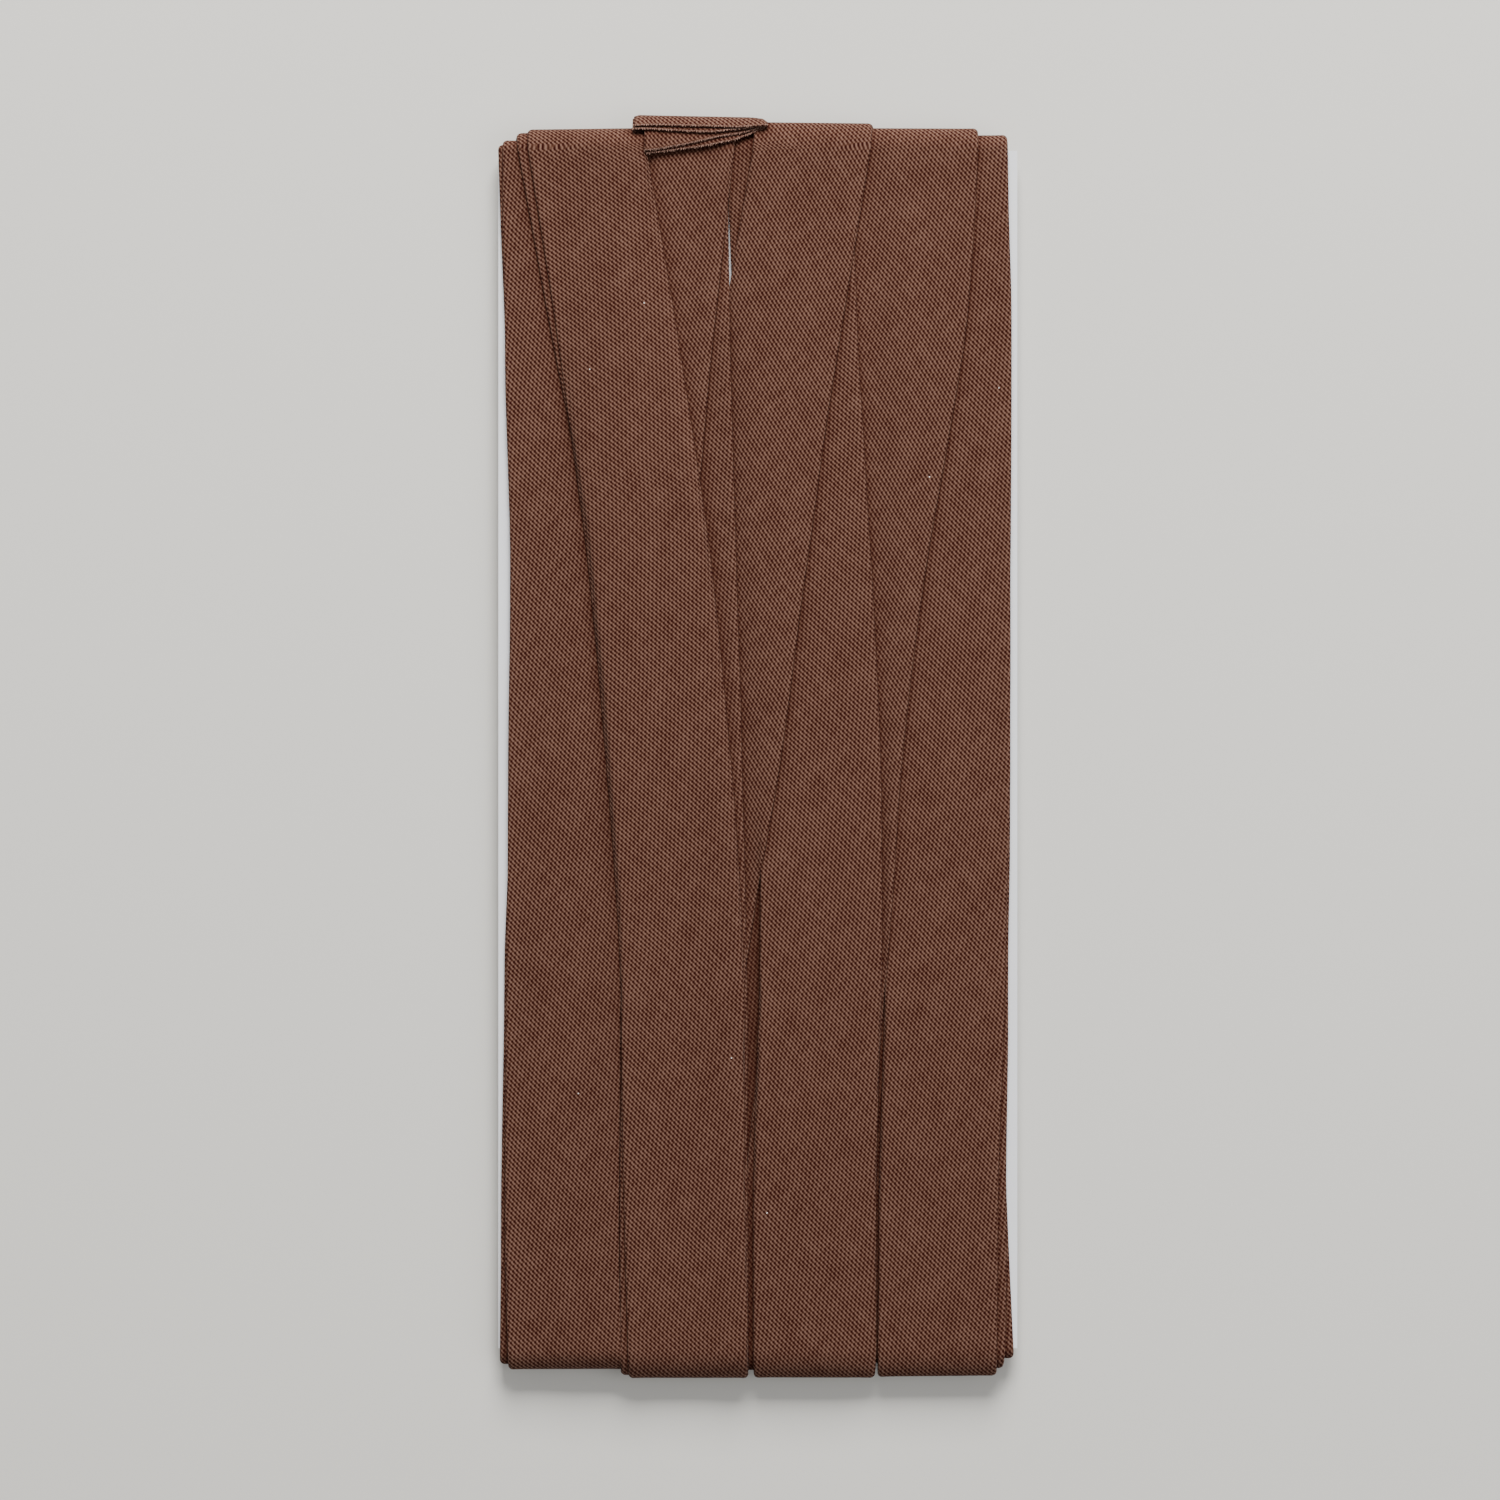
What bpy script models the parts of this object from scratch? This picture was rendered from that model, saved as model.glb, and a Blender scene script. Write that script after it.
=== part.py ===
"""Bias binding wound flat on a white card.

A cotton tape, folded in along both edges, goes lengthwise round the card: down the front, round the
bottom edge, up the back and round the top edge.  It drifts sideways as it is wound, so each turn lies
partly on the turns before it.  The last few millimetres are bent over the top edge and cut on a slant.

The card lies flat with its front up.  X runs across the card, Y up the front from the bottom edge to the
top edge, and Z up.  The origin is on the surface that the object lies on, under its middle.
"""
import math

import bmesh
import bpy
import numpy as np

MM = 0.001

CARD_WIDTH = 78.0
CARD_LENGTH = 180.0
CARD_THICKNESS = 0.5
CLEARANCE = 0.3

PLY = 0.36
FOLD_ROUND = 0.14
FOLD_INSET = 0.32
TAPE_WIDTH = 18.0
FLATTENED_BACK = 0.3

CARD_END = CARD_LENGTH / 2
SLOT_HALF = CARD_THICKNESS / 2 + CLEARANCE
CORE_OVERLAP = 0.2
CORE_STEP = 0.013
BACK_SHIFT = 0.06
MERGE = 0.002

# Distances up the card at which the left edge of each front pass is given, in mm from its middle.
STATIONS = (93.0, 62.0, 31.0, 0.0, -31.0, -62.0, -93.0)

# One row for each front pass, in winding order, in mm.
# Columns: left edge at each station; width at the top, middle and bottom; how far the turn reaches
# past the card at the top, left and right side, and at the bottom, left and right side.
PASSES = (
    ((-39.1, -38.0, -37.1, -37.3, -38.0, -38.5, -38.8), (18.0, 18.0, 18.0), (0.9, 0.9, 2.4, 2.4)),
    ((-2.4, -2.3, -2.6, -3.2, -3.4, -3.4, -3.4), (18.0, 18.0, 18.0), (1.0, 1.0, 1.3, 1.3)),
    ((19.0, 19.3, 19.3, 19.3, 19.3, 19.4, 20.5), (18.0, 18.0, 18.0), (0.9, 0.9, 1.5, 1.5)),
    ((-0.5, -0.4, -0.3, 0.2, 0.9, 1.0, 1.0), (18.3, 18.3, 18.3), (1.7, 1.7, 2.2, 2.2)),
    ((19.3, 19.8, 19.8, 19.8, 19.5, 19.0, 18.6), (18.0, 18.0, 18.5), (1.6, 1.6, 3.0, 3.0)),
    ((19.4, 20.0, 20.0, 19.9, 19.2, 18.3, 18.0), (18.1, 18.0, 17.8), (2.3, 2.4, 4.45, 4.0)),
    ((15.2, 13.0, 7.8, 3.7, 1.6, -1.7, -5.2), (18.0, 18.0, 18.0), (3.5, 3.3, 3.3, 3.3)),
    ((-4.9, -3.5, -1.6, 0.1, 0.4, -0.6, -0.6), (18.6, 18.2, 18.5), (2.95, 2.95, 4.45, 4.45)),
    ((-0.2, -5.6, -10.5, -15.0, -20.0, -24.6, -28.8), (17.6, 18.5, 18.0), (4.5, 4.0, 2.6, 2.6)),
    ((-22.4, -22.2, -21.4, -20.4, -19.7, -19.5, -19.5), (18.0, 18.0, 18.0), (2.0, 2.0, 3.4, 3.4)),
    ((-21.1, -24.7, -27.8, -31.0, -34.0, -36.2, -37.3), (18.0, 18.0, 17.0), (2.6, 2.6, 2.9, 2.9)),
    ((-38.4, -38.0, -37.3, -37.5, -37.7, -38.0, -37.5), (17.8, 17.5, 17.0), (1.55, 1.55, 3.25, 3.1)),
    ((-36.6, -30.9, -26.3, -23.1, -21.0, -20.6, -20.6), (17.9, 18.0, 18.0), (2.5, 3.1, 4.05, 4.0)),
    ((-34.9, -30.1, -25.8, -22.8, -20.7, -20.2, -19.4), (17.7, 18.6, 18.0), (3.05, 3.6, 4.5, 4.5)),
)

# The loose end: its sides, how far it reaches past the card, the angle round the edge at which it leaves
# the last pass and how far that pass reaches there, and how far up the card its slanted cut is.
END_LEFT = -18.4
END_RIGHT = 0.9
END_REACH = 5.4
END_START_ANGLE = -64.0
LAST_PASS_REACH = 4.6
END_CUT_LEFT = 90.0
END_CUT_RIGHT = 93.6
END_COLUMNS = 13
END_ROWS = 21

ROWS = 25
COLUMNS_BETWEEN_FOLDS = 9
NOSE_ANGLES = (67.5, 45.0, 22.5, 0.0)
LAST_ANGLES = NOSE_ANGLES[:1]
GRID_STEP = 0.25
GRID = np.arange(-41.0, 41.0 + GRID_STEP / 2, GRID_STEP)
ROW_Y = np.linspace(CARD_END, -CARD_END, ROWS)


def smooth_through(places, values, at):
    """Values at the given places along a smooth curve through a few known ones."""
    places = np.asarray(places, float)[::-1]
    values = np.asarray(values, float)[::-1]
    slopes = np.gradient(values, places)
    at = np.clip(at, places[0], places[-1])
    i = np.clip(np.searchsorted(places, at) - 1, 0, len(places) - 2)
    step = places[i + 1] - places[i]
    t = (at - places[i]) / step
    return (
        (2 * t**3 - 3 * t**2 + 1) * values[i]
        + (t**3 - 2 * t**2 + t) * step * slopes[i]
        + (3 * t**2 - 2 * t**3) * values[i + 1]
        + (t**3 - t**2) * step * slopes[i + 1]
    )


def across(width):
    """Distances across a tape from its left edge: both folds, and even steps between them."""
    inner = np.linspace(FOLD_INSET, width - FOLD_INSET, COLUMNS_BETWEEN_FOLDS)
    return np.concatenate([[0.0], inner, [width]])


def front_columns(row):
    """X of every column of a front pass at every row, from top to bottom."""
    left_edges, widths, _ = row
    left = smooth_through(STATIONS, left_edges, ROW_Y)
    width = smooth_through((CARD_END, 0.0, -CARD_END), widths, ROW_Y)
    return np.array([x + across(w) for x, w in zip(left, width)])


def back_columns(below, above_left):
    """X of every column of a back pass, which climbs from the bottom of one front pass to the next one."""
    share = (ROW_Y + CARD_END) / CARD_LENGTH
    ease = share * share * (3 - 2 * share)
    left = below[0][-1] + (above_left - below[0][-1]) * ease
    return np.array([x + BACK_SHIFT + across(TAPE_WIDTH) for x in left])


def lay(columns, stack):
    """Height of a pass laid on the stack so far, and the stack with that pass added."""
    height = np.zeros_like(columns)
    for i, xs in enumerate(columns):
        reach = (xs[-1] - xs[0]) / (COLUMNS_BETWEEN_FOLDS - 1)
        for j, x in enumerate(xs):
            near = (np.abs(GRID - x) <= reach) & (GRID >= xs[0]) & (GRID <= xs[-1])
            height[i, j] = stack[i, near].max() + PLY
    draped = height.copy()
    for _ in range(3):
        padded = np.pad(draped, 1, mode="edge")
        mean = (padded[:-2, 1:-1] + padded[2:, 1:-1] + padded[1:-1, :-2] + padded[1:-1, 2:]) / 4
        draped = np.maximum(height, mean)
    draped[:, 0] = draped[:, 1] - FOLD_ROUND
    draped[:, -1] = draped[:, -2] - FOLD_ROUND
    added = stack.copy()
    for i, xs in enumerate(columns):
        under = (GRID >= xs[0]) & (GRID <= xs[-1])
        added[i, under] = np.maximum(stack[i, under], np.interp(GRID[under], xs, draped[i]))
    return draped, added


def nose_rows(xs, heights, reach, end, angles):
    """Points of a pass where it rounds one end of the card, from the flat towards the middle of the edge."""
    spread = np.linspace(reach[0], reach[1], len(xs))
    spread[0] -= FOLD_ROUND
    spread[-1] -= FOLD_ROUND
    rows = []
    for angle in angles:
        turn = math.radians(angle)
        y = end * (CARD_END + spread * math.cos(turn))
        rows.append(np.stack([xs, y, (SLOT_HALF + heights) * math.sin(turn)], axis=1))
    return rows


def slab(name, columns, heights, top_reach, bottom_reach, depth, top_angles=NOSE_ANGLES):
    """A closed solid under one pass, from a little past the card's mid-plane out to the pass's face."""
    flat = [
        np.stack([xs, np.full(len(xs), y), SLOT_HALF + h], axis=1)
        for xs, y, h in zip(columns, ROW_Y, heights)
    ]
    top = nose_rows(columns[0], heights[0], top_reach, 1, top_angles)
    bottom = nose_rows(columns[-1], heights[-1], bottom_reach, -1, NOSE_ANGLES)
    outer = np.array(top[::-1] + flat + bottom)
    inner = outer.copy()
    inner[:, :, 2] = -depth
    return closed_sheet(name, outer, inner)


def closed_sheet(name, outer, inner):
    """One closed mesh from two matching grids of points, with walls round their edges."""
    rows, columns, _ = outer.shape
    mesh = bpy.data.meshes.new(name)
    shape = bmesh.new()
    faces = [[shape.verts.new(p) for p in side.reshape(-1, 3)] for side in (outer, inner)]
    for side, verts in enumerate(faces):
        for i in range(rows - 1):
            for j in range(columns - 1):
                a = i * columns + j
                ring = [verts[a], verts[a + columns], verts[a + columns + 1], verts[a + 1]]
                shape.faces.new(ring if side == 0 else ring[::-1])
    rim = (
        [(i, 0) for i in range(rows)]
        + [(rows - 1, j) for j in range(1, columns)]
        + [(i, columns - 1) for i in range(rows - 2, -1, -1)]
        + [(0, j) for j in range(columns - 2, 0, -1)]
    )
    for (i, j), (k, m) in zip(rim, rim[1:] + rim[:1]):
        a = i * columns + j
        b = k * columns + m
        shape.faces.new([faces[0][b], faces[0][a], faces[1][a], faces[1][b]])
    bmesh.ops.recalc_face_normals(shape, faces=shape.faces)
    shape.to_mesh(mesh)
    shape.free()
    made = bpy.data.objects.new(name, mesh)
    bpy.context.scene.collection.objects.link(made)
    return made


def box(name, low, high):
    """A closed block between two corners."""
    x = (low[0], high[0])
    y = (low[1], high[1])
    grids = [np.array([[(a, b, z) for a in x] for b in y[::-1]], float) for z in (high[2], low[2])]
    return closed_sheet(name, grids[0], grids[1])


def turned_over(made):
    """Mirrors a pass from the front of the card to its back."""
    shape = bmesh.new()
    shape.from_mesh(made.data)
    for v in shape.verts:
        v.co.z = -v.co.z
    bmesh.ops.reverse_faces(shape, faces=shape.faces)
    shape.to_mesh(made.data)
    shape.free()


def combine(target, operation, others):
    """Joins solids to a solid, or cuts them from it, and removes them."""
    group = bpy.data.collections.new("operands")
    bpy.context.scene.collection.children.link(group)
    for other in others:
        bpy.context.scene.collection.objects.unlink(other)
        group.objects.link(other)
    step = target.modifiers.new("combine", "BOOLEAN")
    step.operation = operation
    step.solver = "EXACT"
    step.operand_type = "COLLECTION"
    step.collection = group
    bpy.context.view_layer.update()
    evaluated = target.evaluated_get(bpy.context.evaluated_depsgraph_get())
    result = bpy.data.meshes.new_from_object(evaluated)
    target.modifiers.remove(step)
    shape = bmesh.new()
    shape.from_mesh(result)
    bmesh.ops.remove_doubles(shape, verts=shape.verts, dist=MERGE)
    bmesh.ops.dissolve_degenerate(shape, edges=shape.edges, dist=MERGE)
    shape.to_mesh(result)
    shape.free()
    target.data = result
    for other in others:
        bpy.data.objects.remove(other)
    bpy.data.collections.remove(group)


def material(name, color, roughness):
    """A plain non-metal surface."""
    made = bpy.data.materials.new(name)
    made.use_nodes = True
    surface = made.node_tree.nodes["Principled BSDF"]
    surface.inputs["Base Color"].default_value = (*color, 1.0)
    surface.inputs["Roughness"].default_value = roughness
    surface.inputs["Metallic"].default_value = 0.0
    return made


def finish(made, name, surface, rest_height):
    """Names a piece, gives it its material, lifts it so that the part lies on z = 0, and turns mm to metres."""
    made.name = name
    made.data.name = name
    made.data.materials.clear()
    made.data.materials.append(surface)
    for vertex in made.data.vertices:
        vertex.co.z += rest_height
        vertex.co *= MM
    made.data.shade_smooth()
    made.data.set_sharp_from_angle(angle=math.radians(35))


def wind():
    """Every turn of the tape in winding order: its solids, the height of the stack on each side, and the
    height at the back before the last pass."""
    solids = []
    stacks = {"front": np.zeros((ROWS, len(GRID))), "back": np.zeros((ROWS, len(GRID)))}
    for turn, row in enumerate(PASSES):
        columns = front_columns(row)
        heights, stacks["front"] = lay(columns, stacks["front"])
        reach = row[2]
        depth = CORE_OVERLAP + CORE_STEP * turn
        solids.append(slab("front", columns, heights, reach[:2], reach[2:], depth))
        last = turn + 1 == len(PASSES)
        next_left = END_LEFT if last else PASSES[turn + 1][0][0]
        top_reach = (LAST_PASS_REACH, LAST_PASS_REACH) if last else PASSES[turn + 1][2][:2]
        top_angles = LAST_ANGLES if last else NOSE_ANGLES
        columns = back_columns(row, next_left)
        below = stacks["back"]
        heights, stacks["back"] = lay(columns, stacks["back"])
        ends = [np.array(pair) - BACK_SHIFT for pair in (top_reach, reach[2:])]
        solids.append(slab("back", columns, heights, *ends, depth, top_angles))
        turned_over(solids[-1])
    return solids, stacks, below


def loose_end(stacks, below, rest_height):
    """The end of the tape, bent over the top edge above the other turns and cut on a slant."""
    xs = np.linspace(END_LEFT, END_RIGHT, END_COLUMNS)
    spacing = xs[1] - xs[0]
    front = [stacks["front"][0, np.abs(GRID - x) <= spacing].max() for x in xs]
    front = np.array(front) + SLOT_HALF + CLEARANCE
    back = [below[0, np.abs(GRID - x) <= spacing].max() for x in xs]
    back = np.minimum(np.array(back) + SLOT_HALF + CLEARANCE, rest_height - PLY)
    inner_reach = END_REACH - PLY
    share = (xs - END_LEFT) / (END_RIGHT - END_LEFT)
    cut = END_CUT_LEFT + (END_CUT_RIGHT - END_CUT_LEFT) * share - CARD_END
    stop = np.degrees(np.arccos(cut / inner_reach))
    inner = []
    outer = []
    for step in np.linspace(0.0, 1.0, END_ROWS):
        angle = np.radians(END_START_ANGLE + (stop - END_START_ANGLE) * step)
        height = np.where(angle > 0, front, back)
        for rows, thick in ((inner, 0.0), (outer, PLY)):
            y = CARD_END + (inner_reach + thick) * np.cos(angle)
            rows.append(np.stack([xs, y, (height + thick) * np.sin(angle)], axis=1))
    return closed_sheet("loose_end", np.array(outer), np.array(inner))


def build():
    for old in list(bpy.data.objects):
        bpy.data.objects.remove(old)
    cotton = material("dusky_rose_cotton", (0.127, 0.054, 0.036), 0.9)
    white_card = material("white_card", (0.78, 0.79, 0.82), 0.6)

    solids, stacks, below = wind()
    rest_height = SLOT_HALF + stacks["back"].max() - FLATTENED_BACK
    combine(solids[0], "UNION", solids[1:])
    far = CARD_WIDTH
    slot = box("slot", (-far, -CARD_END - CLEARANCE, -SLOT_HALF), (far, CARD_END + CLEARANCE, SLOT_HALF))
    surface = box("surface", (-far, -CARD_LENGTH, -rest_height - 5), (far, CARD_LENGTH, -rest_height))
    combine(solids[0], "DIFFERENCE", [slot, surface])

    half = (CARD_WIDTH / 2, CARD_END, CARD_THICKNESS / 2)
    card = box("card", tuple(-v for v in half), half)
    end = loose_end(stacks, below, rest_height)

    finish(solids[0], "wound_binding", cotton, rest_height)
    finish(card, "card", white_card, rest_height)
    finish(end, "loose_end", cotton, rest_height)


build()
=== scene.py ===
import math

import bmesh
import bpy
import numpy as np
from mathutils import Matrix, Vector


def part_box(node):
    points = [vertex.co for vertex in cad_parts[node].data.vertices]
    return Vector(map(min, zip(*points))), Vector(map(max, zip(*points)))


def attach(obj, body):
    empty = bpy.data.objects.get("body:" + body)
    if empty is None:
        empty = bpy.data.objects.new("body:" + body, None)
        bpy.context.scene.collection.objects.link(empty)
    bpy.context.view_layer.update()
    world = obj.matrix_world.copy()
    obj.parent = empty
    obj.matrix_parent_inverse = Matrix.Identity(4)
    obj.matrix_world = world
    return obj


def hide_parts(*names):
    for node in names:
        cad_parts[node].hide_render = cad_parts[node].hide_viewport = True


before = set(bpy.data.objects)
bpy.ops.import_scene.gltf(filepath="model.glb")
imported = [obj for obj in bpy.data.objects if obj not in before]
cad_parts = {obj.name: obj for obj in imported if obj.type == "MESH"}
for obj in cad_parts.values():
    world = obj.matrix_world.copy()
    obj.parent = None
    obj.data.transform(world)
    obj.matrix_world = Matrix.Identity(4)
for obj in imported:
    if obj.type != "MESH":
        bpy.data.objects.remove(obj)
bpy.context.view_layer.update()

# The card: a rectangle of smooth white board, cut square with a die.
# Only its two long margins and a slit between two turns show, so its grain is fine and even.

MM = 0.001
BOARD_WHITE = (0.90, 0.915, 0.96, 1.0)
BOARD_SHADE = (0.80, 0.81, 0.85, 1.0)
FIBRE_SCALE = 2600.0
CLOUD_SCALE = 90.0
LEAST_SHADE = 0.2
CLOUD_SHADE = 0.5
FIBRE_SHADE = 0.3
BOARD_ROUGHNESS = 0.62

# A relief is its strength and its height in metres.
BOARD_RELIEF = (0.25, 0.00002)

card_low, card_high = (np.array(corner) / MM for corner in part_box("card"))
card_end = card_high[1]
card_middle = (card_low[2] + card_high[2]) / 2


def add(tree, kind, sockets=(), **settings):
    """A node with its settings, and its inputs set or linked by name or number."""
    made = tree.nodes.new(kind)
    for name, value in settings.items():
        setattr(made, name, value)
    for key, value in dict(sockets).items():
        if isinstance(value, bpy.types.NodeSocket):
            tree.links.new(value, made.inputs[key])
        else:
            made.inputs[key].default_value = value
    return made


def math_node(tree, operation, first, second=0.0, third=0.0):
    """The result of one sum."""
    return add(tree, "ShaderNodeMath", {0: first, 1: second, 2: third}, operation=operation).outputs[0]


def noise(tree, place, scale, detail):
    """Soft noise, about 0.5 on average, with the scale in cells to a unit of place."""
    made = add(tree, "ShaderNodeTexNoise", {"Vector": place, "Scale": scale, "Detail": detail})
    return made.outputs["Fac"]


def new_material(name):
    """An empty material, its tree, and its surface shader."""
    made = bpy.data.materials.new(name)
    made.use_nodes = True
    return made, made.node_tree, made.node_tree.nodes["Principled BSDF"]


def blend(tree, surface, share, first, second):
    """Gives a surface a colour between two others."""
    mixed = add(tree, "ShaderNodeMix", {"Factor": share, 6: first, 7: second}, data_type="RGBA")
    tree.links.new(mixed.outputs[2], surface.inputs["Base Color"])


def bump(tree, surface, height, strength, distance):
    """Gives a surface a small relief."""
    relief = add(tree, "ShaderNodeBump", {"Height": height, "Strength": strength, "Distance": distance})
    tree.links.new(relief.outputs["Normal"], surface.inputs["Normal"])


board, tree, surface = new_material("white_board")
place = add(tree, "ShaderNodeTexCoord").outputs["Object"]
fibre = noise(tree, place, FIBRE_SCALE, 3.0)
mottle = math_node(tree, "MULTIPLY_ADD", noise(tree, place, CLOUD_SCALE, 2.0), CLOUD_SHADE, LEAST_SHADE)
mottle = math_node(tree, "MULTIPLY_ADD", fibre, FIBRE_SHADE, mottle)
blend(tree, surface, mottle, BOARD_WHITE, BOARD_SHADE)
bump(tree, surface, fibre, *BOARD_RELIEF)
surface.inputs["Roughness"].default_value = BOARD_ROUGHNESS
card = bpy.data.objects["card"]
card.data.materials.clear()
card.data.materials.append(board)


# The binding: a strip of plain-weave cotton cut on the bias, with both edges pressed in to meet behind.
# It is wound tight, lengthwise round the card, in fourteen turns that drift sideways over each other.
# The rows give where each turn lies, and the stack of turns so far lifts the next one.

# Lengths here are in mm, until the node tree turns them to metres.
PLY = 0.42
CLOTH_THICKNESS = 0.38
TAPE_WIDTH = 18.0
CLEARANCE = 0.3
CORNER_RADIUS = 0.9
CORNER_DROP = 0.45
PRESSED_FROM = 1.9
TABLE_ROOM = 0.16
FRONT_ROWS = 79
BACK_ROWS = 39
NOSE_ANGLES = np.radians([78, 64, 50, 37, 24, 12, 0, -12, -24, -37, -50, -64, -78])
FOLD_COLUMNS = (0.0, 0.015, 0.05, 0.11, 0.21, 0.42, 0.7, 1.1)
INNER_COLUMNS = 8
INNER_START = 2.2
STATIONS = (93.0, 62.0, 31.0, 0.0, -31.0, -62.0, -93.0)

# One row for each front pass, in winding order, in mm.
# Columns: left edge at each station; width at the top, middle and bottom; how far the turn reaches
# past the card at the top, left and right side, and at the bottom, left and right side.
PASSES = (
    ((-39.1, -38.0, -37.1, -37.3, -38.0, -38.5, -38.8), (18.0, 18.0, 18.0), (0.9, 0.9, 2.4, 2.4)),
    ((-2.4, -2.3, -2.6, -3.2, -3.4, -3.4, -3.4), (18.0, 18.0, 18.0), (1.0, 1.0, 1.3, 1.3)),
    ((19.0, 19.3, 19.3, 19.3, 19.3, 19.4, 20.5), (18.0, 18.0, 18.0), (0.9, 0.9, 1.5, 1.5)),
    ((-0.5, -0.4, -0.3, 0.2, 0.9, 1.0, 1.0), (18.3, 18.3, 18.3), (1.7, 1.7, 2.2, 2.2)),
    ((19.3, 19.8, 19.8, 19.8, 19.5, 19.0, 18.6), (18.0, 18.0, 18.5), (1.6, 1.6, 3.0, 3.0)),
    ((19.4, 20.0, 20.0, 19.9, 19.2, 18.3, 18.0), (18.1, 18.0, 17.8), (2.3, 2.4, 4.45, 4.0)),
    ((15.2, 13.0, 7.8, 3.7, 1.6, -1.7, -5.2), (18.0, 18.0, 18.0), (3.5, 3.3, 3.3, 3.3)),
    ((-4.9, -3.5, -1.6, 0.1, 0.4, -0.6, -0.6), (18.6, 18.2, 18.5), (2.95, 2.95, 4.45, 4.45)),
    ((-0.2, -5.6, -10.5, -15.0, -20.0, -24.6, -28.8), (17.6, 18.5, 18.0), (4.5, 4.0, 2.6, 2.6)),
    ((-22.4, -22.2, -21.4, -20.4, -19.7, -19.5, -19.5), (18.0, 18.0, 18.0), (2.0, 2.0, 3.4, 3.4)),
    ((-21.1, -24.7, -27.8, -31.0, -34.0, -36.2, -37.3), (18.0, 18.0, 17.0), (2.6, 2.6, 2.9, 2.9)),
    ((-38.4, -38.0, -37.3, -37.5, -37.7, -38.0, -37.5), (17.8, 17.5, 17.0), (1.55, 1.55, 3.25, 3.1)),
    ((-36.6, -30.9, -25.0, -21.7, -20.2, -20.6, -20.6), (17.9, 16.8, 18.0), (2.5, 3.1, 4.05, 4.0)),
    ((-34.9, -30.1, -25.8, -22.8, -20.7, -20.2, -19.4), (17.7, 18.6, 18.0), (3.05, 3.6, 4.5, 4.5)),
)
END_LEFT = -18.4

# The stack is kept as heights on a grid of cells across the card. A turn bridges the hollows under it.
GRID_REACH = 42.0
GRID_STEP = 0.25
DRAPE_CELLS = 4
DRAPE_LENGTH = 3.0
EASE_LENGTH = 4.5
LEAST_COVER = 0.2
BELL_REACH = 2.5

# How far a hand's drift moves an edge, a width and a height, in mm, and over how many rows.
EDGE_DRIFT = (0.05, 6)
WIDTH_DRIFT = (0.04, 5)
HEIGHT_DRIFT = (0.012, 5)
DRIFT_SEED = 18

card_half = (card_high[2] - card_low[2]) / 2 + CLEARANCE
grid = np.arange(-GRID_REACH, GRID_REACH + GRID_STEP / 2, GRID_STEP)
front_y = np.linspace(card_end, -card_end, FRONT_ROWS)
back_y = np.linspace(card_end, -card_end, BACK_ROWS)
random = np.random.default_rng(DRIFT_SEED)


def smooth_through(places, values, at):
    """Values at the given places along a smooth curve through a few known ones."""
    places = np.asarray(places, float)[::-1]
    values = np.asarray(values, float)[::-1]
    slopes = np.gradient(values, places)
    at = np.clip(at, places[0], places[-1])
    i = np.clip(np.searchsorted(places, at) - 1, 0, len(places) - 2)
    step = places[i + 1] - places[i]
    t = (at - places[i]) / step
    return (
        (2 * t**3 - 3 * t**2 + 1) * values[i]
        + (t**3 - 2 * t**2 + t) * step * slopes[i]
        + (3 * t**2 - 2 * t**3) * values[i + 1]
        + (t**3 - t**2) * step * slopes[i + 1]
    )


def across(width):
    """Distances across the tape from its left fold, close together near both folds."""
    inner = np.linspace(INNER_START, width - INNER_START, INNER_COLUMNS)
    return np.concatenate([FOLD_COLUMNS, inner, width - np.array(FOLD_COLUMNS[::-1])])


def from_fold(xs):
    """Distance of each column from the nearer fold."""
    return np.minimum(xs - xs[0], xs[-1] - xs)


def drift(count, size, spacing):
    """A slow uneven drift along a pass, as a hand leaves it."""
    knots = random.normal(0, size, max(4, int(count / spacing) + 3))
    return np.interp(np.linspace(0, len(knots) - 1, count), np.arange(len(knots)), knots)


def widest(field, reach, axis):
    """The highest value within some cells along one axis."""
    best = field.copy()
    for step in range(1, reach + 1):
        for way in (step, -step):
            moved = np.roll(field, way, axis)
            edge = [slice(None), slice(None)]
            edge[axis] = slice(0, step) if way > 0 else slice(-step, None)
            moved[tuple(edge)] = 0
            best = np.maximum(best, moved)
    return best


def softened(field, sigma, axis):
    """The mean along one axis, weighted by a bell curve."""
    reach = int(math.ceil(BELL_REACH * sigma))
    pads = [(0, 0), (0, 0)]
    pads[axis] = (reach, reach)
    wide = np.pad(field, pads, mode="edge")
    total = np.zeros_like(field)
    weights = np.exp(-0.5 * (np.arange(-reach, reach + 1) / sigma) ** 2)
    for k, weight in enumerate(weights / weights.sum()):
        part = [slice(None), slice(None)]
        part[axis] = slice(k, k + field.shape[axis])
        total += weight * wide[tuple(part)]
    return total


def lay(left, width, rows_y, stack):
    """Columns and heights of a pass drawn tight over the stack, and the stack with that pass on it."""
    under = (grid >= left[:, None]) & (grid <= (left + width)[:, None])
    carried = np.where(under, stack, 0)
    row_gap = abs(rows_y[1] - rows_y[0])
    raised = widest(carried, DRAPE_CELLS, 1)
    raised = widest(raised, int(round(DRAPE_LENGTH / row_gap)), 0)
    share = softened(under.astype(float), DRAPE_CELLS, 1)
    raised = softened(np.where(under, raised, 0), DRAPE_CELLS, 1) / np.maximum(share, LEAST_COVER)
    raised = softened(np.where(under, raised, 0), EASE_LENGTH / row_gap, 0)
    raised = np.where(under, np.maximum(raised, carried), 0)
    columns = np.array([x + across(w) for x, w in zip(left, width)])
    heights = np.zeros_like(columns)
    for i, xs in enumerate(columns):
        inside = grid[under[i]]
        heights[i] = np.interp(xs, inside, raised[i, under[i]]) + PLY
    return columns, heights, np.where(under, raised + PLY, stack)


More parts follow.
